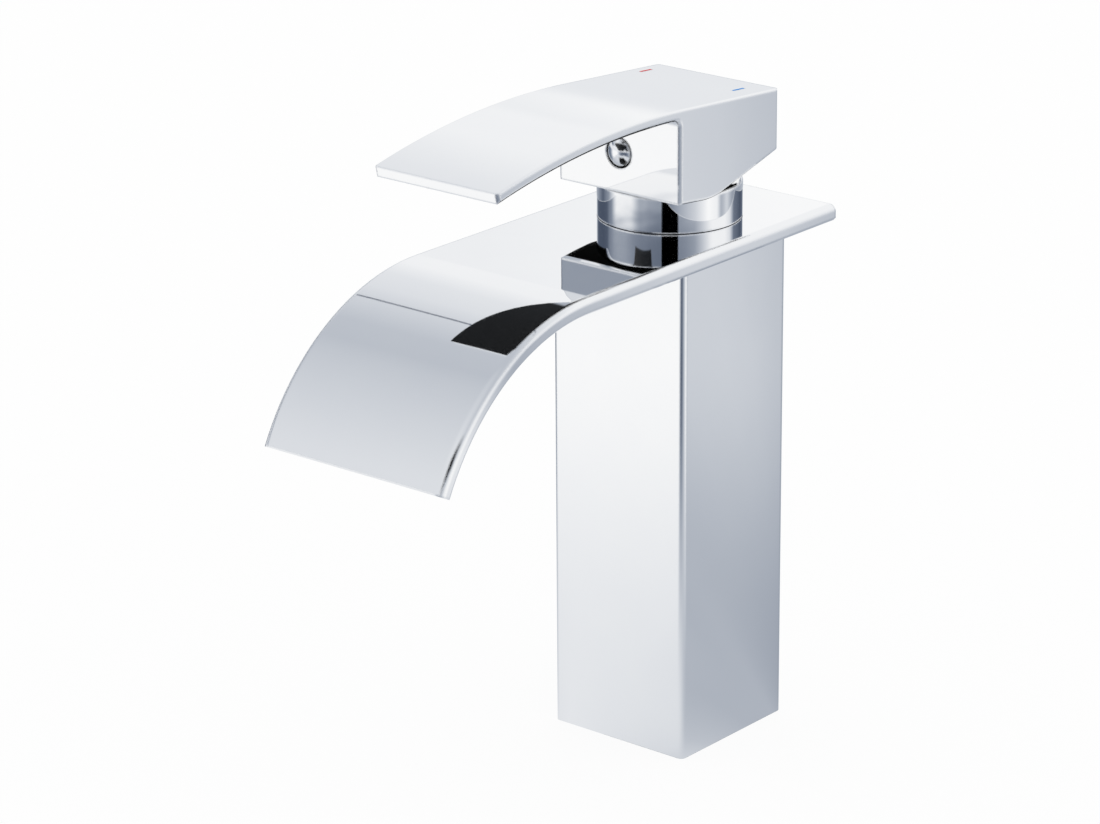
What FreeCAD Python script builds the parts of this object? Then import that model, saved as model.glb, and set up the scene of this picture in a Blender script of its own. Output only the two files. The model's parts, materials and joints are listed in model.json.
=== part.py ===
import FreeCAD, Part
import math
import os

# Waterfall basin faucet with a single lever.
# Millimetres. +Z is up, the spout points to -Y, and hot is on the -X side.
# The origin is the centre of the column's foot, on the basin's rim.

# ---- column and foot
COLUMN_SIDE = 45.0
COLUMN_HEIGHT = 142.2
COLUMN_WALL = 2.0
COLUMN_EDGE = 1.5          # radius of its upright edges
COLUMN_FIT = 0.2           # gap from the column's bore to what slides into it
FOOT_THICK = 16.0
HOSE_THREAD_R = 4.46       # tapped wall of an M10x1 hose thread
HOSE_THREAD_DEEP = 10.0
STUD_THREAD_R = 3.4        # tapped wall of an M8 thread
STUD_THREAD_DEEP = 11.0
STUD_Y = 10.0
FOOT_SEAL_OUTER = 35.0     # side of the square gasket
FOOT_SEAL_WIDTH = 2.0
FOOT_SEAL_THICK = 2.0

# ---- inlet tubes
RISER_X = 8.0
RISER_Y = -4.9
RISER_OUTER_R = 4.0
RISER_WALL = 1.0
RISER_SOCKET = 5.0         # how deep the upper end sits in the housing
RISER_FIT = 0.05

# ---- spout plate, two skins with the water between them
SPOUT_WIDTH = 60.5
SPOUT_THICK = 4.5
SPOUT_REAR = 34.4
SPOUT_BEND_Y = -70.0       # where the flat ends and the bend begins
SPOUT_BEND_R = 66.5        # radius of the bend's upper face
SPOUT_BEND_ANGLE = 63.5
SPOUT_TOP_SKIN = 1.3
SPOUT_LOW_SKIN = 1.2
SPOUT_RIM = 3.0            # solid rim at the sides and the rear
SPOUT_EDGE = 2.0           # rounding along the upper sides
SPOUT_LOW_EDGE = 0.8       # bevel along the lower sides
SPOUT_FIT = 0.05
SLOT_OVERRUN = 3.0         # the water's channel is cut this many degrees past the tip

# ---- cartridge housing
NECK_R = 18.8
NECK_RISE = 6.0            # height of the neck above the plate
CARTRIDGE_R = 17.5
CARTRIDGE_FIT = 0.1
HOUSING_FLOOR = 15.5       # metal under the cartridge
WATERWAY_HALF = 2.3        # half the side of a cast waterway
WATERWAY_AT = 15.9         # x and y of the two upright waterways
WATERWAY_DROP = 6.5        # their feet lie this far under the cartridge
PEG_X = 11.5
PEG_Y = 6.0
PEG_HALF = 1.7
PEG_LONG = 2.2
PEG_FIT = 0.1

# ---- cartridge
PIVOT_RISE = 6.3           # lever pivot above the plate
ARM_LONG = 11.7            # pivot to the centre of the lever's tip
LIFT_ANGLE = 22.0          # full lift of the handle
SHOULDER_RISE = 0.6        # cartridge shoulder above the plate
SHELL_WALL = 1.6
CARTRIDGE_NECK_R = 14.0
CARTRIDGE_NECK_RISE = 5.5  # top of the neck above the pivot
ROTOR_R = 12.5
ROTOR_FLANGE_R = 15.6
ROTOR_FLANGE = 1.7
ROTOR_SINK = 0.1           # rotor's top below the neck's top
RUNNING_FIT = 0.05
TIP_R = 2.5                # the lever ends in a small barrel across the arm
TIP_HALF = 2.6             # half its length
TIP_FIT = 0.1
TIP_UNDER = 0.4            # room under the barrel
CARRIER_R = 13.4
CARRIER_HALF = 12.1        # half width across its flats
CARRIER_THICK = 5.3
CARRIER_PLAY = 0.2         # carrier to rotor flange
GUIDE_LONG = 14.0
GUIDE_GAP = 0.1
LUG_INNER = 8.2            # the carrier drives the moving disc by two lugs
LUG_OUTER = 10.8
LUG_HALF = 1.8
LUG_LONG = 1.5
MOVING_DISC_R = 12.5
MOVING_DISC_THICK = 3.4
POCKET_DEEP = 1.6
POCKET_FRONT_R = 4.4       # its front stays inside the inlets while the valve is shut
POCKET_WAIST_Y = 2.0       # where the round front ends
POCKET_HALF = 6.4
POCKET_CHEEK_Y = 4.2       # where the pocket has its full width
POCKET_REAR = 9.6
POCKET_BEVEL = 1.6
FIXED_DISC_THICK = 5.0
KEY_INNER = 13.2           # two keys in the base stop the fixed disc from turning
KEY_OUTER = 14.9
KEY_HALF = 1.5
KEY_HIGH = 1.5
INLET_TURN = -39.0         # direction of the cold port, in degrees from +X
INLET_HALF_TURN = 20.0
INLET_INNER = 5.2          # fan-shaped ports, measured from the valve's axis
INLET_OUTER = 9.6
OUTLET_TURN = 90.0
OUTLET_HALF_TURN = 34.0
OUTLET_INNER = 2.4
OUTLET_OUTER = 8.0
PORT_LAND = 0.5            # from a port to the inside of its seal
SEAL_SIZE = 1.2
BASE_THICK = 6.5

# ---- retaining nut and collar
NUT_BORE_FIT = 0.3
NUT_THREAD_FIT = 0.05
NUT_HEX_FLATS = 30.0
NUT_HEX_HIGH = 3.0
COLLAR_R = 19.7
COLLAR_RISE = 10.4
COLLAR_MOUTH_R = 16.0
COLLAR_LID = 1.2
COLLAR_THREAD_FIT = 0.05

# ---- handle: heights are above the plate
HANDLE_WIDTH = 41.5
HANDLE_REAR = 20.75
HANDLE_FRONT = -21.83
HANDLE_REAR_TOP = 33.85
HANDLE_RISE_ANGLE = 4.19   # its top climbs this much towards the front
BLADE_ARC_Y = -20.0        # where the top's curve begins
BLADE_ARC_R = 258.0
BLADE_TIP_Y = -95.5
BLADE_THICK = 2.9
BLOCK_FRONT_LOW = 11.0
BLOCK_LOWEST = 9.45
BLOCK_LOWEST_Y = -7.0
BLOCK_REAR_LOW = 16.8
BLOCK_BELLY_R = 25.0
INNER_CORNER_R = 1.8       # where the blade leaves the block
HANDLE_EDGE = 0.8          # bevel along its sides
TOP_EDGE = 0.4             # bevel along the sides of its top
SWING_GAP = 0.4            # hollow to collar, seen along the pivot
SIDE_GAP = 0.35            # hollow to collar, at each side
SCREW_RISE = 21.9
BOSS_R = 7.5
BOSS_RISE = 17.9
WEB_HALF = 4.5

# ---- lever, screw, plug and marks
STEM_SIDE = 8.0
STEM_FIT = 0.05
STEM_FROM_PIVOT = 8.5
STEM_LONG = 16.0
SOCKET_OVER = 0.7
LEVER_HALF = 3.6           # half thickness at the pivot
LEVER_UNDER_PIVOT = 3.5
ARM_TOP_HALF = 3.1
ARM_LOW_HALF = 1.3
ROTOR_SLOT_HALF = 6.8
PIN_R = 2.0
PIN_SINK = 0.7             # pin end inside the rotor
SCREW_R = 2.5
SCREW_LONG = 10.0
SCREW_HEX_FLATS = 2.5
SCREW_HEX_DEEP = 2.5
PLUG_HOLE_R = 4.35
PLUG_HOLE_DEEP = 4.0
PLUG_FIT = 0.05
PLUG_SET_BACK = 0.6
PLUG_HEAD_R = 3.7
PLUG_REAR_GAP = 0.1
PLUG_ROUNDING = 45.0       # the head's round edge is turned as one cone through this angle
MARK_LONG = 4.9
MARK_WIDE = 0.9
MARK_DEEP = 0.3
MARK_Y = 11.2
HOT_MARK_INSET = 3.55      # from the handle's side to the mark's middle
COLD_MARK_INSET = 6.45

# ---- places worked out from the sizes above
PLATE_TOP = COLUMN_HEIGHT + SPOUT_THICK
COLUMN_BORE = COLUMN_SIDE - 2.0 * COLUMN_WALL
INSERT_SIDE = COLUMN_BORE - 2.0 * COLUMN_FIT
PIVOT_Z = PLATE_TOP + PIVOT_RISE
TIP_Z = PIVOT_Z - ARM_LONG
CARRIER_LOW = TIP_Z - TIP_R - TIP_UNDER
CARRIER_TOP = CARRIER_LOW + CARRIER_THICK
ROTOR_LOW = CARRIER_TOP + CARRIER_PLAY
DISC_FACE = CARRIER_LOW - MOVING_DISC_THICK
FIXED_LOW = DISC_FACE - FIXED_DISC_THICK
BASE_LOW = FIXED_LOW - BASE_THICK
SHOULDER_Z = PLATE_TOP + SHOULDER_RISE
CARTRIDGE_TOP = PIVOT_Z + CARTRIDGE_NECK_RISE
CARTRIDGE_BORE_R = CARTRIDGE_R + CARTRIDGE_FIT
SHELL_BORE_R = CARTRIDGE_R - SHELL_WALL
INNER_DISC_R = SHELL_BORE_R - CARTRIDGE_FIT
HOUSING_LOW = BASE_LOW - HOUSING_FLOOR
NECK_TOP = PLATE_TOP + NECK_RISE
TRAVEL = ARM_LONG * math.sin(math.radians(LIFT_ANGLE))
CARRIER_Y = TRAVEL / 2.0
RISER_HIGH = HOUSING_LOW + RISER_SOCKET
COLLAR_TOP = PLATE_TOP + COLLAR_RISE
SWING_R = math.hypot(COLLAR_R, COLLAR_TOP - PIVOT_Z)
CAVITY_R = SWING_R + SWING_GAP
CAVITY_HALF = COLLAR_R + SIDE_GAP
SCREW_Z = PLATE_TOP + SCREW_RISE
BOSS_Z = PLATE_TOP + BOSS_RISE
STEM_LOW = PIVOT_Z + STEM_FROM_PIVOT
STEM_TOP = STEM_LOW + STEM_LONG
HALF_WIDTH = HANDLE_WIDTH / 2.0
HOT_MARK_X = -HALF_WIDTH + HOT_MARK_INSET
COLD_MARK_X = HALF_WIDTH - COLD_MARK_INSET


def vec(x, y, z):
    return FreeCAD.Vector(x, y, z)


# ---- basic solids

def rod(radius, low, high, x=0.0, y=0.0):
    return Part.makeCylinder(radius, high - low, vec(x, y, low))


def rod_along_x(radius, left, right, y, z):
    return Part.makeCylinder(radius, right - left, vec(left, y, z), vec(1, 0, 0))


def rod_along_y(radius, front, rear, x, z):
    return Part.makeCylinder(radius, rear - front, vec(x, front, z), vec(0, 1, 0))


def tube(outer, inner, low, high, x=0.0, y=0.0):
    return rod(outer, low, high, x, y).cut(rod(inner, low, high, x, y))


def slab(left, right, front, rear, low, high):
    return Part.makeBox(right - left, rear - front, high - low, vec(left, front, low))


def square_bar(side, low, high):
    half = side / 2.0
    return slab(-half, half, -half, half, low, high)


def line(start, end):
    return Part.LineSegment(start, end).toShape()


def arc(start, middle, end):
    return Part.Arc(start, middle, end).toShape()


def outline(corners):
    return Part.makePolygon(corners + corners[:1])


def drawn_out(wire, reach):
    return Part.Face(wire).extrude(reach)


def hexagon(flats, low, high):
    reach = flats / math.sqrt(3.0)
    corners = []
    for step in range(6):
        turn = math.radians(60.0 * step)
        corners.append(vec(reach * math.cos(turn), reach * math.sin(turn), low))
    return drawn_out(outline(corners), vec(0, 0, high - low))


def joined(solids):
    whole = solids[0]
    for solid in solids[1:]:
        whole = whole.fuse(solid)
    return whole.removeSplitter()


# ---- column and foot

def column():
    outside = square_bar(COLUMN_SIDE, 0.0, COLUMN_HEIGHT)
    upright = [edge for edge in outside.Edges if edge.BoundBox.ZLength > COLUMN_HEIGHT / 2.0]
    outside = outside.makeFillet(COLUMN_EDGE, upright)
    return outside.cut(square_bar(COLUMN_BORE, 0.0, COLUMN_HEIGHT))


def foot_seal():
    inner = FOOT_SEAL_OUTER - 2.0 * FOOT_SEAL_WIDTH
    outside = square_bar(FOOT_SEAL_OUTER, 0.0, FOOT_SEAL_THICK)
    return outside.cut(square_bar(inner, 0.0, FOOT_SEAL_THICK))


def base_block():
    block = square_bar(INSERT_SIDE, 0.0, FOOT_THICK)
    for x in (-RISER_X, RISER_X):
        block = block.cut(rod(HOSE_THREAD_R, 0.0, HOSE_THREAD_DEEP, x, RISER_Y))
        block = block.cut(rod(RISER_OUTER_R + RISER_FIT, HOSE_THREAD_DEEP, FOOT_THICK, x, RISER_Y))
    block = block.cut(rod(STUD_THREAD_R, 0.0, STUD_THREAD_DEEP, 0.0, STUD_Y))
    return block.cut(foot_seal())


def riser(x):
    inner = RISER_OUTER_R - RISER_WALL
    return tube(RISER_OUTER_R, inner, HOSE_THREAD_DEEP, RISER_HIGH, x, RISER_Y)


# ---- spout plate

def plate_layer(top_depth, low_depth, rear, half_width, angle):
    """A layer of the bent plate, between two depths under its upper face."""
    centre_z = PLATE_TOP - SPOUT_BEND_R

    def bend_point(depth, degrees):
        turn = math.radians(degrees)
        reach = SPOUT_BEND_R - depth
        y = SPOUT_BEND_Y - reach * math.sin(turn)
        return vec(-half_width, y, centre_z + reach * math.cos(turn))

    rear_top = vec(-half_width, rear, PLATE_TOP - top_depth)
    rear_low = vec(-half_width, rear, PLATE_TOP - low_depth)
    top = [bend_point(top_depth, angle * share) for share in (0.0, 0.5, 1.0)]
    low = [bend_point(low_depth, angle * share) for share in (0.0, 0.5, 1.0)]
    edges = [
        line(rear_top, top[0]),
        arc(*top),
        line(top[2], low[2]),
        arc(low[2], low[1], low[0]),
        line(low[0], rear_low),
        line(rear_low, rear_top),
    ]
    return drawn_out(Part.Wire(edges), vec(2.0 * half_width, 0, 0))


def edges_in_side_planes(solid, half_width):
    """The outline edges that lie in the planes X = -half_width and X = +half_width."""
    found = []
    for edge in solid.Edges:
        box = edge.BoundBox
        flat = box.XLength < 1e-6
        if flat and abs(abs(box.XMin) - half_width) < 1e-6:
            found.append(edge)
    return found


def middle_of(edge):
    return edge.valueAt((edge.FirstParameter + edge.LastParameter) / 2.0)


def depth_in_plate(point):
    """How far a point lies under the plate's upper face."""
    if point.y > SPOUT_BEND_Y:
        return PLATE_TOP - point.z
    reach = math.hypot(point.y - SPOUT_BEND_Y, point.z - PLATE_TOP + SPOUT_BEND_R)
    return SPOUT_BEND_R - reach


def edges_along_plate(solid, depth):
    """The long side edges at a depth under the plate's upper face."""
    sides = edges_in_side_planes(solid, SPOUT_WIDTH / 2.0)
    return [
        edge for edge in sides
        if edge.Length > 1.5 * SPOUT_THICK and abs(depth_in_plate(middle_of(edge)) - depth) < 0.01
    ]


def neck_hole():
    return rod(NECK_R + SPOUT_FIT, COLUMN_HEIGHT, PLATE_TOP)


def spout_shell():
    half = SPOUT_WIDTH / 2.0
    outside = plate_layer(0.0, SPOUT_THICK, SPOUT_REAR, half, SPOUT_BEND_ANGLE)
    outside = outside.makeFillet(SPOUT_EDGE, edges_along_plate(outside, 0.0))
    outside = outside.makeChamfer(SPOUT_LOW_EDGE, edges_along_plate(outside, SPOUT_THICK))
    channel = plate_layer(
        SPOUT_TOP_SKIN,
        2.0 * SPOUT_THICK,
        SPOUT_REAR - SPOUT_RIM,
        half - SPOUT_RIM,
        SPOUT_BEND_ANGLE + SLOT_OVERRUN,
    )
    return outside.cut(channel).cut(neck_hole())


def spout_tray():
    half = SPOUT_WIDTH / 2.0 - SPOUT_RIM - SPOUT_FIT
    rear = SPOUT_REAR - SPOUT_RIM - SPOUT_FIT
    tray = plate_layer(SPOUT_THICK - SPOUT_LOW_SKIN, SPOUT_THICK, rear, half, SPOUT_BEND_ANGLE)
    tray = tray.cut(neck_hole())
    for x in (-WATERWAY_AT, WATERWAY_AT):
        window = square_bar(2.0 * WATERWAY_HALF, COLUMN_HEIGHT, PLATE_TOP)
        window.translate(vec(x, WATERWAY_AT, 0))
        tray = tray.cut(window)
    return tray


# ---- ports and seals, shared by the housing and the cartridge

def fan(inner, outer, turn, half_turn, low):
    """Outline of a fan-shaped port round the valve's axis, at a height."""
    corners = []
    for radius, share in ((inner, -1.0), (outer, -1.0), (outer, 0.0), (outer, 1.0), (inner, 1.0)):
        angle = math.radians(turn + share * half_turn)
        corners.append(vec(radius * math.cos(angle), radius * math.sin(angle), low))
    return outline(corners)


def port_outlines(low):
    """The cold inlet, the hot inlet and the outlet."""
    return [
        fan(INLET_INNER, INLET_OUTER, INLET_TURN, INLET_HALF_TURN, low),
        fan(INLET_INNER, INLET_OUTER, 180.0 - INLET_TURN, INLET_HALF_TURN, low),
        fan(OUTLET_INNER, OUTLET_OUTER, OUTLET_TURN, OUTLET_HALF_TURN, low),
    ]


def port_holes(low, high):
    return [drawn_out(wire, vec(0, 0, high - low)) for wire in port_outlines(low)]


def grown(wire, distance):
    """The same outline, wider by a distance, with sharp corners (the 2)."""
    return wire.makeOffset2D(distance, 2)


def port_seals(low):
    """A seal round each port, of the port's own shape."""
    up = vec(0, 0, SEAL_SIZE)
    seals = []
    for wire in port_outlines(low):
        inside = drawn_out(grown(wire, PORT_LAND), up)
        seals.append(drawn_out(grown(wire, PORT_LAND + SEAL_SIZE), up).cut(inside))
    return seals


# ---- cartridge housing

def waterways():
    """Two upright ways behind the cartridge, joined at their feet to the outlet."""
    low = BASE_LOW - WATERWAY_DROP - WATERWAY_HALF
    high = BASE_LOW - WATERWAY_DROP + WATERWAY_HALF
    near = WATERWAY_AT - WATERWAY_HALF
    far = WATERWAY_AT + WATERWAY_HALF
    return [
        slab(-WATERWAY_HALF, WATERWAY_HALF, OUTLET_INNER, far, low, high),
        slab(-far, far, near, far, low, high),
        slab(-far, -near, near, far, low, COLUMN_HEIGHT),
        slab(near, far, near, far, low, COLUMN_HEIGHT),
    ]


def locating_pegs(play):
    """The base's two pegs, or with play the holes for them in the housing."""
    pegs = []
    half = PEG_HALF + play
    low = BASE_LOW - PEG_LONG - play
    for x in (-PEG_X, PEG_X):
        pegs.append(slab(x - half, x + half, PEG_Y - half, PEG_Y + half, low, BASE_LOW))
    return pegs


def cartridge_housing():
    """The brass casting that takes the cartridge, with its waterways."""
    body = square_bar(INSERT_SIDE, HOUSING_LOW, COLUMN_HEIGHT)
    body = joined([body, rod(NECK_R, COLUMN_HEIGHT, NECK_TOP)])
    body = body.cut(rod(CARTRIDGE_BORE_R, BASE_LOW, NECK_TOP))
    for x in (-RISER_X, RISER_X):
        body = body.cut(rod(RISER_OUTER_R + RISER_FIT, HOUSING_LOW, RISER_HIGH, x, RISER_Y))
    for way in port_holes(RISER_HIGH, BASE_LOW) + waterways() + locating_pegs(PEG_FIT):
        body = body.cut(way)
    return body


# ---- cartridge: fixed pieces

def disc_keys(outer, play):
    keys = []
    half = KEY_HALF + play
    for side in (-1.0, 1.0):
        ends = sorted((side * (KEY_INNER - play), side * outer))
        keys.append(slab(ends[0], ends[1], -half, half, FIXED_LOW, FIXED_LOW + KEY_HIGH + play))
    return keys


def cartridge_base():
    round_part = rod(INNER_DISC_R, BASE_LOW, FIXED_LOW)
    base = joined([round_part] + disc_keys(KEY_OUTER, 0.0) + locating_pegs(0.0))
    for hole in port_holes(BASE_LOW, FIXED_LOW):
        base = base.cut(hole)
    for seal in port_seals(BASE_LOW) + port_seals(FIXED_LOW - SEAL_SIZE):
        base = base.cut(seal)
    return base


def fixed_disc():
    disc = rod(INNER_DISC_R, FIXED_LOW, DISC_FACE)
    for cutter in port_holes(FIXED_LOW, DISC_FACE) + disc_keys(CARTRIDGE_R, RUNNING_FIT):
        disc = disc.cut(cutter)
    return disc


def cartridge_body():
    skirt = rod(CARTRIDGE_R, BASE_LOW, SHOULDER_Z)
    neck = rod(CARTRIDGE_NECK_R, SHOULDER_Z, CARTRIDGE_TOP)
    shell = joined([skirt, neck])
    shell = shell.cut(rod(SHELL_BORE_R, BASE_LOW, SHOULDER_Z - SHELL_WALL))
    return shell.cut(rod(ROTOR_R + RUNNING_FIT, BASE_LOW, CARTRIDGE_TOP))


def retaining_nut():
    """Its hexagon is milled from a blank of the thread's size."""
    hexagon_top = NECK_TOP + NUT_HEX_HIGH
    thread_r = CARTRIDGE_BORE_R - NUT_THREAD_FIT
    thread = rod(thread_r, SHOULDER_Z, NECK_TOP)
    blank = rod(thread_r, NECK_TOP, hexagon_top)
    nut = joined([thread, blank.common(hexagon(NUT_HEX_FLATS, NECK_TOP, hexagon_top))])
    return nut.cut(rod(CARTRIDGE_NECK_R + NUT_BORE_FIT, SHOULDER_Z, hexagon_top))


def collar():
    inner_r = NECK_R + COLLAR_THREAD_FIT
    lid_low = COLLAR_TOP - COLLAR_LID
    corners = [
        vec(inner_r, 0.0, PLATE_TOP),
        vec(COLLAR_R, 0.0, PLATE_TOP),
        vec(COLLAR_R, 0.0, COLLAR_TOP),
        vec(COLLAR_MOUTH_R, 0.0, COLLAR_TOP),
        vec(COLLAR_MOUTH_R, 0.0, lid_low),
        vec(inner_r, 0.0, lid_low),
    ]
    return Part.Face(outline(corners)).revolve(vec(0, 0, 0), vec(0, 0, 1), 360.0)


# ---- cartridge: moving pieces

def guide_lugs():
    inner = CARRIER_HALF + GUIDE_GAP
    half = GUIDE_LONG / 2.0
    low = CARRIER_LOW + CARRIER_PLAY
    high = ROTOR_LOW + ROTOR_FLANGE
    round_bar = rod(ROTOR_FLANGE_R, low, high)
    lugs = []
    for side in (-1.0, 1.0):
        ends = sorted((side * inner, side * ROTOR_FLANGE_R))
        lugs.append(slab(ends[0], ends[1], -half, half, low, high).common(round_bar))
    return lugs


def rotor():
    top = CARTRIDGE_TOP - ROTOR_SINK
    flange = rod(ROTOR_FLANGE_R, ROTOR_LOW, ROTOR_LOW + ROTOR_FLANGE)
    body = joined([rod(ROTOR_R, ROTOR_LOW, top), flange] + guide_lugs())
    slot_x = LEVER_HALF + RUNNING_FIT
    body = body.cut(slab(-slot_x, slot_x, -ROTOR_SLOT_HALF, ROTOR_SLOT_HALF, ROTOR_LOW, top))
    return body.cut(rod_along_x(PIN_R, -ROTOR_R, ROTOR_R, 0.0, PIVOT_Z))


def pivot_pin():
    reach = ROTOR_R - PIN_SINK
    return rod_along_x(PIN_R, -reach, reach, 0.0, PIVOT_Z)


def drive_lugs(play):
    """The carrier's lugs, or with play the recesses for them in the moving disc."""
    lugs = []
    half = LUG_HALF + play
    for side in (-1.0, 1.0):
        ends = sorted((side * (LUG_INNER - play), side * (LUG_OUTER + play)))
        low = CARRIER_LOW - LUG_LONG - play
        lugs.append(slab(ends[0], ends[1], CARRIER_Y - half, CARRIER_Y + half, low, CARRIER_LOW))
    return lugs


def disc_carrier():
    body = rod(CARRIER_R, CARRIER_LOW, CARRIER_TOP, 0.0, CARRIER_Y)
    front = CARRIER_Y - CARRIER_R
    rear = CARRIER_Y + CARRIER_R
    body = body.common(slab(-CARRIER_HALF, CARRIER_HALF, front, rear, CARRIER_LOW, CARRIER_TOP))
    body = joined([body] + drive_lugs(0.0))
    half_x = TIP_HALF + TIP_FIT
    half_y = TIP_R + TIP_FIT
    return body.cut(slab(-half_x, half_x, -half_y, half_y, CARRIER_LOW, CARRIER_TOP))


def mixing_pocket():
    """The hollow under the moving disc: a round front and a wide rear, over the outlet."""
    waist_x = math.sqrt(POCKET_FRONT_R ** 2 - POCKET_WAIST_Y ** 2)
    left_waist = vec(-waist_x, POCKET_WAIST_Y, DISC_FACE)
    right_waist = vec(waist_x, POCKET_WAIST_Y, DISC_FACE)
    corners = [
        right_waist,
        vec(POCKET_HALF, POCKET_CHEEK_Y, DISC_FACE),
        vec(POCKET_HALF, POCKET_REAR - POCKET_BEVEL, DISC_FACE),
        vec(POCKET_HALF - POCKET_BEVEL, POCKET_REAR, DISC_FACE),
        vec(-POCKET_HALF + POCKET_BEVEL, POCKET_REAR, DISC_FACE),
        vec(-POCKET_HALF, POCKET_REAR - POCKET_BEVEL, DISC_FACE),
        vec(-POCKET_HALF, POCKET_CHEEK_Y, DISC_FACE),
        left_waist,
    ]
    edges = [line(start, end) for start, end in zip(corners, corners[1:])]
    edges.append(arc(left_waist, vec(0.0, -POCKET_FRONT_R, DISC_FACE), right_waist))
    return drawn_out(Part.Wire(edges), vec(0, 0, POCKET_DEEP))


def moving_disc():
    disc = rod(MOVING_DISC_R, DISC_FACE, CARRIER_LOW, 0.0, CARRIER_Y)
    for cutter in [mixing_pocket()] + drive_lugs(RUNNING_FIT):
        disc = disc.cut(cutter)
    return disc


def tapered_bar(low_half, top_half, low, top):
    """A square bar that widens upwards."""
    wedge = [vec(-low_half, -top_half, low), vec(low_half, -top_half, low)]
    wedge += [vec(top_half, -top_half, top), vec(-top_half, -top_half, top)]
    across = drawn_out(outline(wedge), vec(0, 2.0 * top_half, 0))
    along = across.copy()
    along.rotate(vec(0, 0, 0), vec(0, 0, 1), 90.0)
    return across.common(along)


def lever():
    hub_low = PIVOT_Z - LEVER_UNDER_PIVOT
    stem = square_bar(STEM_SIDE, STEM_LOW, STEM_TOP)
    hub = square_bar(2.0 * LEVER_HALF, hub_low, STEM_LOW)
    arm = tapered_bar(ARM_LOW_HALF, ARM_TOP_HALF, TIP_Z, hub_low)
    tip = rod_along_x(TIP_R, -TIP_HALF, TIP_HALF, 0.0, TIP_Z)
    whole = joined([stem, hub, arm, tip])
    return whole.cut(rod_along_x(PIN_R + RUNNING_FIT, -LEVER_HALF, LEVER_HALF, 0.0, PIVOT_Z))


# ---- handle

def blade_centre():
    """Centre of the arcs of the blade's two faces, in the side view."""
    slope = math.radians(HANDLE_RISE_ANGLE)
    start_z = PLATE_TOP + HANDLE_REAR_TOP + (HANDLE_REAR - BLADE_ARC_Y) * math.tan(slope)
    y = BLADE_ARC_Y - BLADE_ARC_R * math.sin(slope)
    return vec(0.0, y, start_z - BLADE_ARC_R * math.cos(slope))


def arc_height(radius, y):
    centre = blade_centre()
    return centre.z + math.sqrt(radius ** 2 - (y - centre.y) ** 2)


def top_height(y):
    """Height of the handle's top at y: a straight climb, then an arc to the tip."""
    if y < BLADE_ARC_Y:
        return arc_height(BLADE_ARC_R, y)
    slope = math.radians(HANDLE_RISE_ANGLE)
    return PLATE_TOP + HANDLE_REAR_TOP + (HANDLE_REAR - y) * math.tan(slope)


def handle_profile():
    """Outline of the block and blade in the plane X = -HALF_WIDTH."""
    x = -HALF_WIDTH
    centre = blade_centre()
    under_r = BLADE_ARC_R - BLADE_THICK
    tip_turn = math.atan2(centre.y - BLADE_TIP_Y, top_height(BLADE_TIP_Y) - centre.z)
    tip_low_y = centre.y - under_r * math.sin(tip_turn)
    tip_low_z = centre.z + under_r * math.cos(tip_turn)
    rear_top = vec(x, HANDLE_REAR, top_height(HANDLE_REAR))
    bend = vec(x, BLADE_ARC_Y, top_height(BLADE_ARC_Y))
    mid_y = (BLADE_ARC_Y + BLADE_TIP_Y) / 2.0
    mid_top = vec(x, mid_y, top_height(mid_y))
    tip = vec(x, BLADE_TIP_Y, top_height(BLADE_TIP_Y))
    tip_low = vec(x, tip_low_y, tip_low_z)
    mid_low = vec(x, mid_y, arc_height(under_r, mid_y))
    under = vec(x, HANDLE_FRONT, arc_height(under_r, HANDLE_FRONT))
    front_low = vec(x, HANDLE_FRONT, PLATE_TOP + BLOCK_FRONT_LOW)
    lowest = vec(x, BLOCK_LOWEST_Y, PLATE_TOP + BLOCK_LOWEST)
    rear_low = vec(x, HANDLE_REAR, PLATE_TOP + BLOCK_REAR_LOW)
    edges = [
        line(rear_top, bend),
        arc(bend, mid_top, tip),
        line(tip, tip_low),
        arc(tip_low, mid_low, under),
        line(under, front_low),
        line(front_low, lowest),
        line(lowest, rear_low),
        line(rear_low, rear_top),
    ]
    return Part.Wire(edges)


def across_edges_near(solid, y, z):
    """The edges along X that pass within a hair of a place in the side view."""
    found = []
    for edge in solid.Edges:
        box = edge.BoundBox
        centre = box.Center
        if box.XLength > HALF_WIDTH and math.hypot(centre.y - y, centre.z - z) < 0.01:
            found.append(edge)
    return found


def is_top_edge(edge):
    middle = middle_of(edge)
    return abs(middle.z - top_height(middle.y)) < 0.05


def handle_blank():
    blank = drawn_out(handle_profile(), vec(HANDLE_WIDTH, 0, 0))
    under_z = arc_height(BLADE_ARC_R - BLADE_THICK, HANDLE_FRONT)
    belly = across_edges_near(blank, BLOCK_LOWEST_Y, PLATE_TOP + BLOCK_LOWEST)
    blank = blank.makeFillet(BLOCK_BELLY_R, belly)
    inner = across_edges_near(blank, HANDLE_FRONT, under_z)
    blank = blank.makeFillet(INNER_CORNER_R, inner)
    sides = edges_in_side_planes(blank, HALF_WIDTH)
    blank = blank.makeChamfer(HANDLE_EDGE, [edge for edge in sides if not is_top_edge(edge)])
    sides = edges_in_side_planes(blank, HALF_WIDTH)
    return blank.makeChamfer(TOP_EDGE, [edge for edge in sides if is_top_edge(edge)])


def handle_cavity():
    """The hollow that clears the collar at every lift: a drum along the pivot, less boss and web."""
    high = PIVOT_Z + CAVITY_R
    drum = rod_along_x(CAVITY_R, -CAVITY_HALF, CAVITY_HALF, 0.0, PIVOT_Z)
    boss = rod(BOSS_R, BOSS_Z, high)
    web = slab(-WEB_HALF, WEB_HALF, -CAVITY_R, 0.0, BOSS_Z, high)
    return drum.cut(boss.fuse(web))


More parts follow.
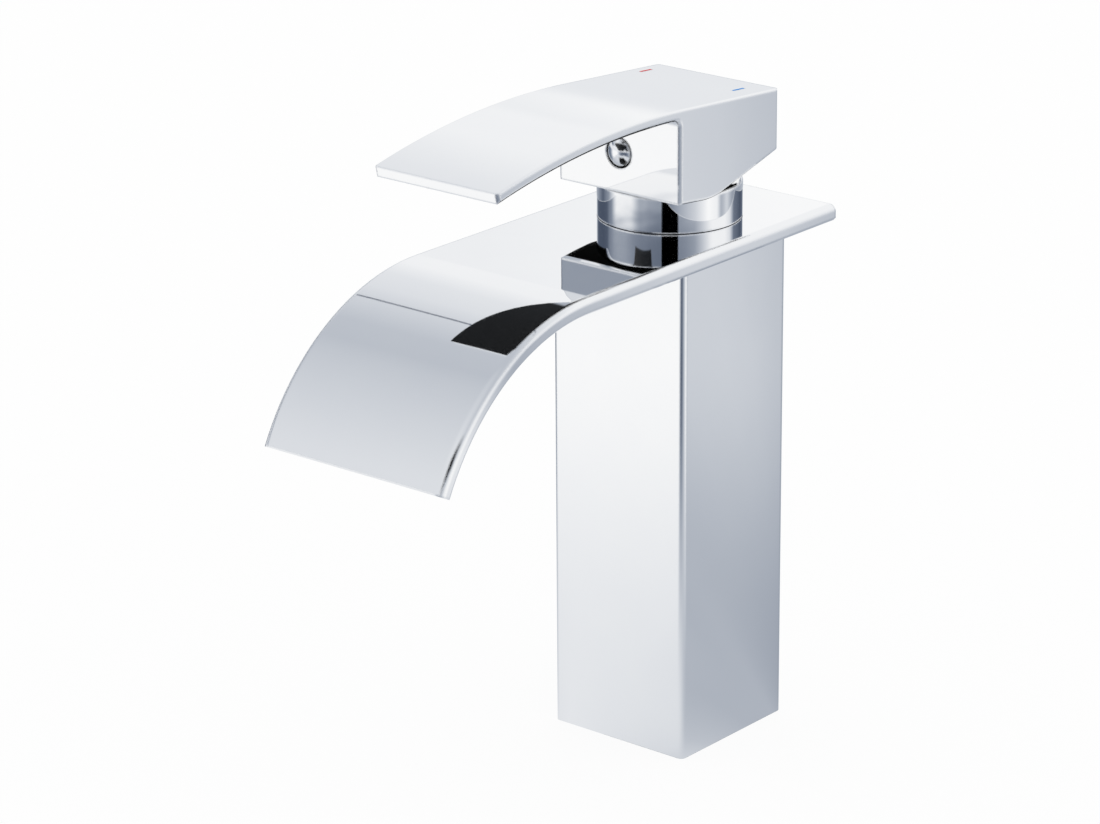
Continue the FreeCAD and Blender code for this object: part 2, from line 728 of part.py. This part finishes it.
def handle_uncut():
    body = handle_blank().cut(handle_cavity())
    half = STEM_SIDE / 2.0 + STEM_FIT
    body = body.cut(slab(-half, half, -half, half, BOSS_Z, STEM_TOP + SOCKET_OVER))
    body = body.cut(rod_along_y(SCREW_R, HANDLE_FRONT, 0.0, 0.0, SCREW_Z))
    return body.cut(rod_along_y(PLUG_HOLE_R, HANDLE_FRONT, HANDLE_FRONT + PLUG_HOLE_DEEP, 0.0, SCREW_Z))


def mark_cutter(x):
    """A short bar sunk in the handle's top, square to it."""
    half_wide = MARK_WIDE / 2.0
    half_long = MARK_LONG / 2.0
    bar = slab(-half_wide, half_wide, -half_long, half_long, -MARK_DEEP, MARK_DEEP)
    bar.rotate(vec(0, 0, 0), vec(1, 0, 0), -HANDLE_RISE_ANGLE)
    bar.translate(vec(x, MARK_Y, top_height(MARK_Y)))
    return bar


def set_screw():
    rear = -STEM_SIDE / 2.0
    front = rear - SCREW_LONG
    screw = rod_along_y(SCREW_R, front, rear, 0.0, SCREW_Z)
    socket = hexagon(SCREW_HEX_FLATS, -SCREW_HEX_DEEP, 0.0)
    socket.rotate(vec(0, 0, 0), vec(1, 0, 0), 90.0)
    socket.translate(vec(0, front, SCREW_Z))
    return screw.cut(socket)


def index_plug():
    """The push-in plug over the screw: a shank in its hole and a round head."""
    face = HANDLE_FRONT + PLUG_SET_BACK
    rear = HANDLE_FRONT + PLUG_HOLE_DEEP - PLUG_REAR_GAP
    shank_r = PLUG_HOLE_R - PLUG_FIT
    turn = math.radians(PLUG_ROUNDING)
    front = HANDLE_FRONT - PLUG_HEAD_R * math.sin(turn)
    corners = [
        vec(0.0, rear, 0.0),
        vec(shank_r, rear, 0.0),
        vec(shank_r, face, 0.0),
        vec(PLUG_HEAD_R, face, 0.0),
        vec(PLUG_HEAD_R, HANDLE_FRONT, 0.0),
        vec(PLUG_HEAD_R * math.cos(turn), front, 0.0),
        vec(0.0, front, 0.0),
    ]
    plug = Part.Face(outline(corners)).revolve(vec(0, 0, 0), vec(0, 1, 0), 360.0)
    plug.translate(vec(0, 0, SCREW_Z))
    return plug


# ---- all pieces

def all_nodes():
    uncut = handle_uncut()
    hot = uncut.common(mark_cutter(HOT_MARK_X))
    cold = uncut.common(mark_cutter(COLD_MARK_X))
    return {
        "column": column(),
        "base_block": base_block(),
        "base_seal": foot_seal(),
        "hot_riser": riser(-RISER_X),
        "cold_riser": riser(RISER_X),
        "spout_shell": spout_shell(),
        "spout_tray": spout_tray(),
        "cartridge_housing": cartridge_housing(),
        "port_seals": Part.Compound(port_seals(BASE_LOW)),
        "cartridge_base": cartridge_base(),
        "disc_seals": Part.Compound(port_seals(FIXED_LOW - SEAL_SIZE)),
        "fixed_disc": fixed_disc(),
        "cartridge_body": cartridge_body(),
        "retaining_nut": retaining_nut(),
        "collar": collar(),
        "rotor": rotor(),
        "pivot_pin": pivot_pin(),
        "disc_carrier": disc_carrier(),
        "moving_disc": moving_disc(),
        "lever": lever(),
        "handle": uncut.cut(hot).cut(cold),
        "set_screw": set_screw(),
        "index_plug": index_plug(),
        "hot_mark": hot,
        "cold_mark": cold,
    }


def main():
    os.makedirs("parts", exist_ok=True)
    for name, shape in all_nodes().items():
        solids = shape.Solids
        kept = solids[0] if len(solids) == 1 else Part.Compound(solids)
        kept.exportStep("parts/" + name + ".step")
        print(name, "solids", len(solids), "valid", kept.isValid(), "volume", round(kept.Volume, 1))
    print("carrier travel at full lift", round(TRAVEL, 3))


main()
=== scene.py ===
import json
import math

import bmesh
import bpy
from mathutils import Matrix, Vector

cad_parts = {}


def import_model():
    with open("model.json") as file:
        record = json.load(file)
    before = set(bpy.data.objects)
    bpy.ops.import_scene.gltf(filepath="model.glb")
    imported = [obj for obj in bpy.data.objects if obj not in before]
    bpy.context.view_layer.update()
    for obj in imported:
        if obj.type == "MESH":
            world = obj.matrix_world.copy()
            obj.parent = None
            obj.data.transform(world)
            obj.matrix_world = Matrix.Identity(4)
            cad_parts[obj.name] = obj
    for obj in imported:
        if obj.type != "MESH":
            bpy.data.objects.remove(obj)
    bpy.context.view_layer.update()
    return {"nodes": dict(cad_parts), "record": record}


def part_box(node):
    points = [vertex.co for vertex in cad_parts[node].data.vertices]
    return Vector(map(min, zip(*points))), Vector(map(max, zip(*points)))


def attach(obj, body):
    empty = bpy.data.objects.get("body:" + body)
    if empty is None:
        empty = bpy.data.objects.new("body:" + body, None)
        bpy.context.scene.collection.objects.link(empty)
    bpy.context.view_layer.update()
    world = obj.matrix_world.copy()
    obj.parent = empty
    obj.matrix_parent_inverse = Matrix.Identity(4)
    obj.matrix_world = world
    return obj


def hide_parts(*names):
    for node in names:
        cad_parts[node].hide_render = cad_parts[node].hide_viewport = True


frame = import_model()

# Waterfall basin faucet in polished chrome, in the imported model's frame and in metres.

QUARTER_TURN = 0.5 * math.pi

# ---- the camera of the photograph
AZIMUTH = math.radians(39.84)
ELEVATION = math.radians(19.423)
ROLL = math.radians(-0.398)
AIM_HEIGHT = 0.09          # it looks at this height on the column's axis
DISTANCE = 1.181645
SLIDE_RIGHT = -0.032633    # then it slides sideways and up, without turning
SLIDE_UP = 0.000126
SENSOR_WIDTH = 36.0        # in millimetres, like the lens
LENS = 141.168
CLIP_END = 100.0

# ---- the floor
FLOOR_REACH = 6.0          # from the faucet to the floor's sides
FLOOR_WHITE = 0.97
FLOOR_GLOW = 0.9           # share of the floor's white that a shadow doesn't touch

# ---- the studio: what the chrome mirrors, as (bearing, tone), in degrees from +X towards +Y
SOFT_WHITE = 0.95          # the light on what doesn't mirror
RED_POWER = 1.10           # mirrored greys are a little blue
BLUE_POWER = 0.84
CARDS_ROUND = [
    (-180, 0.09), (-168, 0.11), (-162, 0.22), (-150, 0.32), (-114, 0.42), (-92, 0.45), (-84, 0.40),
    (-68, 0.36), (-36, 0.46), (-12, 0.53), (-3, 0.69), (6, 0.86), (15, 0.98), (46, 0.98),
    (58, 0.80), (69, 0.19), (96, 0.09), (112, 0.20), (120, 0.99), (127, 0.99), (130.5, 0.90),
    (137, 0.92), (147, 0.30), (156, 0.10), (180, 0.09),
]
LOW_CARD_STARTS = (-158.0, -143.0)   # a low white card in front, on the hot side
LOW_CARD_ENDS = (-98.0, -118.0)
CARDS_DIM = [              # share of their tone that the cards keep higher up
    (-180, 1.0), (-140, 1.0), (-128, 0.90), (-112, 0.60), (-95, 0.45), (-66, 0.45), (-28, 0.55),
    (-11, 0.68), (6, 0.82), (20, 1.0), (180, 1.0),
]
DIM_FROM = 0.286           # sine of the height where the low card ends and the cards grow dimmer
DIM_FULL = 0.295
HORIZON_FROM = 0.16        # sine of the height where the pale horizon ends and the cards begin
HORIZON_FULL = 0.24
HORIZON_TONE = 0.84
CARDS_OVERHEAD = [         # by how far they lie towards +Y, from -1 to 1
    (-1.0, 0.78), (-0.66, 0.77), (-0.50, 0.71), (-0.15, 0.60), (-0.05, 0.555), (0.10, 0.57),
    (0.30, 0.70), (0.40, 0.78), (0.53, 0.82), (0.64, 0.93), (1.0, 0.96),
]
OVERHEAD_FROM = 0.312      # sine of the height where the overhead cards begin
OVERHEAD_FULL = 0.35
CARD_GAP_AT = 0.297        # the dark gap between two overhead cards
CARD_GAP_HALF = 0.004
CARD_GAP_TONE = 0.08
FLOOR_FAR = [
    (-180, 0.12), (-162, 0.30), (-144, 1.0), (-113, 1.0), (-97, 0.30), (-86, 0.12), (-62, 0.12),
    (-36, 0.42), (-12, 0.66), (10, 1.0), (27, 0.92), (35, 0.45), (41, 0.54), (46, 0.66), (50, 0.67),
    (52.5, 0.58), (62, 0.36), (85, 0.40), (112, 0.52), (140, 0.50), (165, 0.24), (180, 0.12),
]
# the tones the chrome mirrors near the faucet, with a painted shadow of the faucet towards the back
# right
FLOOR_NEAR = [
    (-180, 0.60), (-128, 0.84), (-60, 0.74), (-20, 0.56), (20, 0.48), (40, 0.48), (52, 0.36),
    (90, 0.40), (180, 0.60),
]
NEAR_REACH = 0.04          # where the floor's far tones begin to show
FAR_REACH = 0.36           # where only they are left
FLAG_BEARING = -51.4       # a black flag hangs in front, towards the camera
FLAG_HALF_TURN = 12.6      # half of its width, in degrees seen from the axis
FLAG_DISTANCE = 0.30
FLAG_LOW = 0.19
FLAG_TOP = 0.262

# ---- chrome
HAZE_SCALE = 60.0          # faint polishing haze, in the tint and in the roughness
HAZE_DETAIL = 4.0
HAZE_TINTS = [(0.3, (0.925, 0.93, 0.94)), (0.7, (0.935, 0.94, 0.945))]
HAZE_ROUGHNESS = [(0.35, 0.018), (0.75, 0.034)]
EDGE_ROUNDING = 0.00085    # how far a polished edge shades round
EDGE_SAMPLES = 4
WAVE_SCALE = 45.0
WAVE_DETAIL = 1.0
WAVE_HEIGHT = 0.00003
MATT_AND_SHADE_TONE = 0.03           # dark and rough where the mask gives 1: the handle's matt hollow, also painted shade, and painted shade under the blade, at the collar's foot and in the plug's rim
MATT_AND_SHADE_ROUGHNESS = 0.5
HOLLOW_HEIGHT = 0.153      # the axis of the hollow under the handle
HOLLOW_R = 0.02064
HOLLOW_HALF = 0.0203
BLADE_UNDER = (-0.030, -0.036)   # the blade's underside is painted dark, as shade, from here forwards
DOWNWARD = -0.3            # a surface faces down where its normal's height is less
SEAM_HEIGHT = 0.00014      # the thin line of painted shade where the collar meets the plate
PLUG_RIM_R = 0.00372       # painted shade fills the plug's sunken rim, from just outside its head

# ---- plain finishes, by slot: the grain is in marks per metre, and the depth is that of its marks
EVEN = (1.0, 1.0, 1.0)
TURNED = (0.3, 0.3, 6.0)   # marks that run round the axis, as turning leaves them
GRAIN_DETAIL = 3.0
GRAIN_STOPS = (0.3, 0.7)   # the low places and the high ones
GRAIN_SHADE = 0.88         # share of the colour in the low places
GRAIN_ROUGHNESS = (0.8, 1.1)   # share of the roughness in the low places and in the high ones
SHINE = 0.5
ENAMEL_SHINE = 0.1
PLAIN_FINISHES = {
    "bare_brass": dict(
        name="machined_brass", colour=(0.72, 0.53, 0.27), roughness=0.32,
        grain=900.0, depth=0.000006, metallic=1.0, stretch=TURNED,
    ),
    "bare_steel": dict(
        name="turned_steel", colour=(0.6, 0.61, 0.62), roughness=0.3,
        grain=1100.0, depth=0.000004, metallic=1.0, stretch=TURNED,
    ),
    "seal_rubber": dict(
        name="seal_rubber", colour=(0.03, 0.03, 0.03), roughness=0.7, grain=1600.0, depth=0.00001,
    ),
    "valve_plastic": dict(
        name="valve_plastic", colour=(0.86, 0.86, 0.84), roughness=0.4, grain=1300.0, depth=0.000004,
    ),
    "valve_ceramic": dict(
        name="valve_ceramic", colour=(0.93, 0.92, 0.9), roughness=0.12, grain=2600.0, depth=0.000001,
    ),
    "hot_enamel": dict(
        name="hot_enamel", colour=(0.70, 0.03, 0.04), roughness=0.45,
        grain=700.0, depth=0.000003, shine=ENAMEL_SHINE,
    ),
    "cold_enamel": dict(
        name="cold_enamel", colour=(0.02, 0.28, 0.75), roughness=0.45,
        grain=700.0, depth=0.000003, shine=ENAMEL_SHINE,
    ),
}

# ---- turned pieces
LATHE_STEPS = 96
SAME_POINT = 1e-7          # points closer than this are merged
SHARP_ANGLE = math.radians(32.0)   # edges that turn further don't shade smooth
COLLAR_BORE_R = 0.01885
COLLAR_MOUTH_R = 0.016
COLLAR_LID = 0.0012
COLLAR_EDGE = 0.0010       # the radius of its soft upper edge
SIDE_ENDS = 1.2            # its straight side ends this many of those radii below the top
EDGE_ROWS = 6
BLOCK_FRONT = 0.02183      # the face of the handle's block, in front of the axis
PLUG_HEAD_R = 0.0037
PLUG_DOME = math.radians(45.0)   # the dome's slope at its rim
PLUG_SET_BACK = 0.0006     # its shank ends this far inside the block
DOME_ROWS = 12


# ---- node helpers

def grey(tone):
    """A tone as a colour."""
    return (tone, tone, tone)


def new_material(name):
    material = bpy.data.materials.new(name)
    material.use_nodes = True
    material.node_tree.nodes.clear()
    return material, material.node_tree


def add(tree, kind, **settings):
    node = tree.nodes.new(kind)
    for key, value in settings.items():
        setattr(node, key, value)
    return node


def math_node(tree, operation, *values):
    """A sum on linked values and plain numbers."""
    node = add(tree, "ShaderNodeMath", operation=operation)
    for socket, value in zip(node.inputs, values):
        if isinstance(value, float):
            socket.default_value = value
        else:
            tree.links.new(value, socket)
    return node.outputs[0]


def ramp(tree, source, stops):
    """A colour ramp of (place, colour) stops on a value."""
    node = add(tree, "ShaderNodeValToRGB")
    elements = node.color_ramp.elements
    while len(elements) < len(stops):
        elements.new(0.5)
    for element, (place, colour) in zip(elements, stops):
        element.position = place
        element.color = (*colour, 1.0)
    tree.links.new(source, node.inputs["Fac"])
    return node.outputs["Color"]


def grey_ramp(tree, source, stops):
    """A ramp of tones over the values from the first stop to the last."""
    low = stops[0][0]
    span = stops[-1][0] - low
    share = math_node(tree, "MULTIPLY_ADD", source, 1.0 / span, -low / span)
    return ramp(tree, share, [((place - low) / span, grey(tone)) for place, tone in stops])


def smooth_share(tree, source, low, high):
    """0 at low and 1 at high, with a soft start and end."""
    node = add(tree, "ShaderNodeMapRange", interpolation_type="SMOOTHSTEP")
    tree.links.new(source, node.inputs["Value"])
    node.inputs["From Min"].default_value = low
    node.inputs["From Max"].default_value = high
    return node.outputs["Result"]


def blend(tree, share, first, second):
    """Mix two colours or tones by a share."""
    node = add(tree, "ShaderNodeMix", data_type="RGBA")
    tree.links.new(share, node.inputs["Factor"])
    for socket, value in ((node.inputs["A"], first), (node.inputs["B"], second)):
        if isinstance(value, float):
            socket.default_value = (*grey(value), 1.0)
        else:
            tree.links.new(value, socket)
    return node.outputs["Result"]


def surface(tree, shader):
    output = add(tree, "ShaderNodeOutputMaterial")
    tree.links.new(shader, output.inputs["Surface"])


def coordinates(tree, kind="Object"):
    """The x, y and z of a point's place or normal in the object's frame, or of a world direction."""
    source = add(tree, "ShaderNodeTexCoord")
    split = add(tree, "ShaderNodeSeparateXYZ")
    tree.links.new(source.outputs[kind], split.inputs["Vector"])
    return split.outputs["X"], split.outputs["Y"], split.outputs["Z"]


def reach(tree, first, second):
    """How far two coordinates are from zero together."""
    squares = [math_node(tree, "MULTIPLY", value, value) for value in (first, second)]
    return math_node(tree, "SQRT", math_node(tree, "ADD", *squares))


def bearing(tree, x, y):
    """The direction of a place round the faucet, in degrees from +X."""
    return math_node(tree, "MULTIPLY", math_node(tree, "ARCTAN2", y, x), 180.0 / math.pi)


def noise(tree, scale, detail, stretch=EVEN):
    place = add(tree, "ShaderNodeTexCoord")
    mapping = add(tree, "ShaderNodeMapping")
    mapping.inputs["Scale"].default_value = stretch
    texture = add(tree, "ShaderNodeTexNoise")
    texture.inputs["Scale"].default_value = scale
    texture.inputs["Detail"].default_value = detail
    tree.links.new(place.outputs["Object"], mapping.inputs["Vector"])
    tree.links.new(mapping.outputs["Vector"], texture.inputs["Vector"])
    return texture.outputs["Fac"]


def relief(tree, height, depth):
    """A normal that follows a height pattern of a given depth."""
    node = add(tree, "ShaderNodeBump")
    node.inputs["Distance"].default_value = depth
    tree.links.new(height, node.inputs["Height"])
    return node


# ---- materials

def matt_hollow_and_blade_shade(tree):
    """1 in the hollow under the handle, which is matt metal painted dark as shade, and under its blade,
    which is painted shade; 0 on its polished outside.
    """
    x, y, z = coordinates(tree)
    rise = math_node(tree, "SUBTRACT", z, HOLLOW_HEIGHT)
    within = math_node(tree, "LESS_THAN", reach(tree, y, rise), HOLLOW_R)
    hollow = math_node(tree, "MULTIPLY", within, math_node(tree, "COMPARE", x, 0.0, HOLLOW_HALF))
    down = math_node(tree, "LESS_THAN", coordinates(tree, "Normal")[2], DOWNWARD)
    under = math_node(tree, "MULTIPLY", down, smooth_share(tree, y, *BLADE_UNDER))
    return math_node(tree, "MAXIMUM", hollow, under)


def collar_seam_painted_shade(tree):
    """1 on the thin line of painted shade at the collar's foot."""
    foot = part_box("collar")[0][2]
    return math_node(tree, "LESS_THAN", coordinates(tree)[2], foot + SEAM_HEIGHT)


def plug_rim_painted_shade(tree):
    """1 on the sunken rim round the plug's head, where shade is painted."""
    low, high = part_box("index_plug")
    x, _, z = coordinates(tree)
    rise = math_node(tree, "SUBTRACT", z, 0.5 * (low[2] + high[2]))
    return math_node(tree, "GREATER_THAN", reach(tree, x, rise), PLUG_RIM_R)


def chrome(name, matt_and_painted_shade=None):
    """Mirror chrome: faint polishing haze, very slight waves, softly rounded edges.

    Where the mask gives 1, the metal is dark and rough: matt metal in the handle's hollow, and painted
    shade there, under the blade, at the collar's foot and round the plug's head.
    """
    material, tree = new_material(name)
    shader = add(tree, "ShaderNodeBsdfPrincipled")
    shader.inputs["Metallic"].default_value = 1.0
    haze = noise(tree, HAZE_SCALE, HAZE_DETAIL)
    tint = ramp(tree, haze, HAZE_TINTS)
    gloss = ramp(tree, haze, [(place, grey(roughness)) for place, roughness in HAZE_ROUGHNESS])
    if matt_and_painted_shade:
        share = matt_and_painted_shade(tree)
        tint = blend(tree, share, tint, MATT_AND_SHADE_TONE)
        gloss = blend(tree, share, gloss, MATT_AND_SHADE_ROUGHNESS)
    tree.links.new(tint, shader.inputs["Base Color"])
    tree.links.new(gloss, shader.inputs["Roughness"])
    rounding = add(tree, "ShaderNodeBevel", samples=EDGE_SAMPLES)
    rounding.inputs["Radius"].default_value = EDGE_ROUNDING
    waves = relief(tree, noise(tree, WAVE_SCALE, WAVE_DETAIL), WAVE_HEIGHT)
    tree.links.new(rounding.outputs["Normal"], waves.inputs["Normal"])
    tree.links.new(waves.outputs["Normal"], shader.inputs["Normal"])
    surface(tree, shader.outputs["BSDF"])
    return material


def finish(name, colour, roughness, grain, depth, metallic=0.0, stretch=EVEN, shine=SHINE):
    """A plain finish with a fine grain, which shows in its colour, roughness and relief."""
    material, tree = new_material(name)
    shader = add(tree, "ShaderNodeBsdfPrincipled")
    shader.inputs["Metallic"].default_value = metallic
    shader.inputs["Specular IOR Level"].default_value = shine
    marks = noise(tree, grain, GRAIN_DETAIL, stretch)
    tints = [tuple(GRAIN_SHADE * part for part in colour), colour]
    roughnesses = [grey(share * roughness) for share in GRAIN_ROUGHNESS]
    tint = ramp(tree, marks, list(zip(GRAIN_STOPS, tints)))
    gloss = ramp(tree, marks, list(zip(GRAIN_STOPS, roughnesses)))
    tree.links.new(tint, shader.inputs["Base Color"])
    tree.links.new(gloss, shader.inputs["Roughness"])
    tree.links.new(relief(tree, marks, depth).outputs["Normal"], shader.inputs["Normal"])
    surface(tree, shader.outputs["BSDF"])
    return material


# ---- studio

def cool(tree, tone):
    """A grey tone as the slightly blue grey that the chrome mirrors."""
    combine = add(tree, "ShaderNodeCombineColor")
    tree.links.new(math_node(tree, "POWER", tone, RED_POWER), combine.inputs["Red"])
    tree.links.new(tone, combine.inputs["Green"])
    tree.links.new(math_node(tree, "POWER", tone, BLUE_POWER), combine.inputs["Blue"])
    return combine.outputs["Color"]


def cards_round(tree, turn, z):
    """The ring of cards, with the low white one in front and a pale horizon under them."""
    cards = grey_ramp(tree, turn, CARDS_ROUND)
    starts = smooth_share(tree, turn, *LOW_CARD_STARTS)
    ends = smooth_share(tree, turn, *LOW_CARD_ENDS)
    fade = smooth_share(tree, z, DIM_FULL, DIM_FROM)
    low_card = math_node(tree, "MULTIPLY", math_node(tree, "MULTIPLY", starts, ends), fade)
    cards = blend(tree, low_card, cards, 1.0)
    dim = grey_ramp(tree, turn, CARDS_DIM)
    dim = blend(tree, smooth_share(tree, z, DIM_FROM, DIM_FULL), 1.0, dim)
    cards = math_node(tree, "MULTIPLY", cards, dim)
    return blend(tree, smooth_share(tree, z, HORIZON_FROM, HORIZON_FULL), HORIZON_TONE, cards)


def cards_overhead(tree, y):
    """The cards overhead, with the dark gap between two of them."""
    cards = grey_ramp(tree, y, CARDS_OVERHEAD)
    gap = math_node(tree, "COMPARE", y, CARD_GAP_AT, CARD_GAP_HALF)
    return blend(tree, gap, cards, CARD_GAP_TONE)


def world():
    """White for the camera, soft white as light, and grey and white cards in the chrome."""
    scene_world = bpy.data.worlds.new("studio")
    bpy.context.scene.world = scene_world
    scene_world.use_nodes = True
    tree = scene_world.node_tree
    tree.nodes.clear()
    x, y, z = coordinates(tree, "Generated")
    around = cards_round(tree, bearing(tree, x, y), z)
    overhead = smooth_share(tree, z, OVERHEAD_FROM, OVERHEAD_FULL)
    cards = blend(tree, overhead, around, cards_overhead(tree, y))
    path = add(tree, "ShaderNodeLightPath")
    light = blend(tree, path.outputs["Is Glossy Ray"], SOFT_WHITE, cool(tree, cards))
    seen = blend(tree, path.outputs["Is Camera Ray"], light, 1.0)
    background = add(tree, "ShaderNodeBackground")
    tree.links.new(seen, background.inputs["Color"])
    output = add(tree, "ShaderNodeOutputWorld")
    tree.links.new(background.outputs[0], output.inputs["Surface"])


def put_in_scene(name, data):
    piece = bpy.data.objects.new(name, data)
    bpy.context.scene.collection.objects.link(piece)
    return piece


def flat_piece(name, corners, material):
    """A four-cornered piece of the studio, which isn't part of the faucet."""
    mesh = bpy.data.meshes.new(name)
    mesh.from_pydata(corners, [], [(0, 1, 2, 3)])
    mesh.materials.append(material)
    piece = put_in_scene(name, mesh)
    return piece


def floor():
    """White with a soft shadow; the chrome mirrors its grey and white tones, which near the faucet hold
    a painted shadow.
    """
    material, tree = new_material("floor_white")
    diffuse = add(tree, "ShaderNodeBsdfDiffuse")
    diffuse.inputs["Color"].default_value = (*grey(FLOOR_WHITE), 1.0)
    glow = add(tree, "ShaderNodeEmission")
    seen = add(tree, "ShaderNodeMixShader")
    seen.inputs["Fac"].default_value = FLOOR_GLOW
    tree.links.new(diffuse.outputs[0], seen.inputs[1])
    tree.links.new(glow.outputs[0], seen.inputs[2])
    x, y, _ = coordinates(tree)
    around = bearing(tree, x, y)
    near = grey_ramp(tree, around, FLOOR_NEAR)
    far = grey_ramp(tree, around, FLOOR_FAR)
    tone = blend(tree, smooth_share(tree, reach(tree, x, y), NEAR_REACH, FAR_REACH), near, far)
    mirrored = add(tree, "ShaderNodeEmission")
    tree.links.new(cool(tree, tone), mirrored.inputs["Color"])
    path = add(tree, "ShaderNodeLightPath")
    mix = add(tree, "ShaderNodeMixShader")
    tree.links.new(path.outputs["Is Glossy Ray"], mix.inputs["Fac"])
    tree.links.new(seen.outputs[0], mix.inputs[1])
    tree.links.new(mirrored.outputs[0], mix.inputs[2])
    surface(tree, mix.outputs[0])
    r = FLOOR_REACH
    flat_piece("floor", [(-r, -r, 0), (r, -r, 0), (r, r, 0), (-r, r, 0)], material)


def flag():
    """The black flag that gives the collar its dark stripe, and shows in mirrors alone."""
    material, tree = new_material("flag_black")
    black = add(tree, "ShaderNodeEmission")
    black.inputs["Color"].default_value = (*grey(0.0), 1.0)
    surface(tree, black.outputs[0])
    turn = math.radians(FLAG_BEARING)
    forward = Vector((math.cos(turn), math.sin(turn), 0.0))
    half_width = FLAG_DISTANCE * math.tan(math.radians(FLAG_HALF_TURN))
    across = Vector((-forward.y, forward.x, 0.0)) * half_width
    up = Vector((0.0, 0.0, FLAG_TOP - FLAG_LOW))
    foot = forward * FLAG_DISTANCE + Vector((0.0, 0.0, FLAG_LOW))
    corners = [foot - across, foot + across, foot + across + up, foot - across + up]
    piece = flat_piece("flag", corners, material)
    piece.visible_camera = False
    piece.visible_diffuse = False
    piece.visible_shadow = False


def camera():
    """The photograph's camera, from its turn, tilt, roll, distance and slides."""
    back = Vector((
        math.sin(AZIMUTH) * math.cos(ELEVATION),
        -math.cos(AZIMUTH) * math.cos(ELEVATION),
        math.sin(ELEVATION),
    ))
    right = (-back).cross(Vector((0.0, 0.0, 1.0))).normalized()
    up = right.cross(-back)
    place = Vector((0.0, 0.0, AIM_HEIGHT)) + right * SLIDE_RIGHT + up * SLIDE_UP + back * DISTANCE
    rolled_right = right * math.cos(ROLL) + up * math.sin(ROLL)
    rolled_up = up * math.cos(ROLL) - right * math.sin(ROLL)
    axes = Matrix((rolled_right, rolled_up, back)).transposed()
    data = bpy.data.cameras.new("camera")
    data.sensor_width = SENSOR_WIDTH
    data.lens = LENS
    data.clip_end = CLIP_END
    piece = put_in_scene("camera", data)
    piece.matrix_world = Matrix.Translation(place) @ axes.to_4x4()
    bpy.context.scene.camera = piece


# ---- turned pieces

def arc(centre, radius, first, last, rows):
    """Points (radius, height) of an arc, by its angles from the level."""
    angles = [first + (last - first) * row / rows for row in range(rows + 1)]
    return [(centre[0] + radius * math.cos(a), centre[1] + radius * math.sin(a)) for a in angles]


def lathe(name, profile, place, material, closed):
    """A smooth piece turned round +Z from (radius, height) points, then put in its place."""
    rows = len(profile)
    points = []
    faces = []
    for step in range(LATHE_STEPS):
        angle = 2.0 * math.pi * step / LATHE_STEPS
        here = step * rows
        there = (step + 1) % LATHE_STEPS * rows
        points += [(r * math.cos(angle), r * math.sin(angle), h) for r, h in profile]
        for row in range(rows if closed else rows - 1):
            after = (row + 1) % rows
            faces.append((here + row, there + row, there + after, here + after))
    mesh = bpy.data.meshes.new(name)
    mesh.from_pydata(points, [], faces)
    shape = bmesh.new()
    shape.from_mesh(mesh)
    bmesh.ops.remove_doubles(shape, verts=shape.verts, dist=SAME_POINT)
    shape.to_mesh(mesh)
    shape.free()
    mesh.transform(place)
    mesh.shade_smooth()
    mesh.set_sharp_from_angle(angle=SHARP_ANGLE)
    mesh.materials.append(material)
    return put_in_scene(name, mesh)


def collar(material):
    """The cap round the valve, with a soft upper edge."""
    low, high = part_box("collar")
    wide, foot, top = high[0], low[2], high[2]
    side = [(wide, foot), (wide, top - SIDE_ENDS * COLLAR_EDGE)]
    brow_at = (wide - COLLAR_EDGE, top - COLLAR_EDGE)
    brow = arc(brow_at, COLLAR_EDGE, 0.0, QUARTER_TURN, EDGE_ROWS)
    lid = [(COLLAR_MOUTH_R, top), (COLLAR_MOUTH_R, top - COLLAR_LID), (COLLAR_BORE_R, top - COLLAR_LID)]
    profile = [(COLLAR_BORE_R, foot)] + side + brow + lid
    piece = lathe("collar_smooth", profile, Matrix.Identity(4), material, closed=True)
    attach(piece, "faucet_body")
    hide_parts("collar")


def index_plug(material):
    """The round-headed plug in the front of the handle's block."""
    low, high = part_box("index_plug")
    shank_r = 0.5 * (high[2] - low[2])
    shank_front = BLOCK_FRONT - PLUG_SET_BACK
    shank = [(0.0, -high[1]), (shank_r, -high[1]), (shank_r, shank_front), (PLUG_HEAD_R, shank_front)]
    dome_r = PLUG_HEAD_R / math.sin(PLUG_DOME)
    dome_at = (0.0, BLOCK_FRONT - dome_r * math.cos(PLUG_DOME))
    dome = arc(dome_at, dome_r, QUARTER_TURN - PLUG_DOME, QUARTER_TURN, DOME_ROWS)
    height = 0.5 * (low[2] + high[2])
    place = Matrix.Translation((0.0, 0.0, height)) @ Matrix.Rotation(QUARTER_TURN, 4, "X")
    piece = lathe("plug_smooth", shank + dome, place, material, closed=False)
    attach(piece, "lever_handle")
    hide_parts("index_plug")


# ---- the faucet's finishes

def put_on(node, material):
    mesh = frame["nodes"][node].data
    mesh.materials.clear()
    mesh.materials.append(material)


def dress():
    """Every carried-over piece gets the finish of its slot, and the turned pieces are added."""
    finishes = {slot: finish(**look) for slot, look in PLAIN_FINISHES.items()}
    finishes["chrome_body"] = chrome("polished_chrome")
    finishes["chrome_plug"] = chrome("plug_chrome", plug_rim_painted_shade)
    for subpart in frame["record"]["subparts"]:
        put_on(subpart["node"], finishes[subpart["material_slot"]])
    put_on("handle", chrome("handle_chrome", matt_hollow_and_blade_shade))
    collar(chrome("collar_chrome", collar_seam_painted_shade))
    index_plug(finishes["chrome_plug"])


bpy.context.scene.view_settings.view_transform = "Standard"
world()
floor()
flag()
camera()
dress()
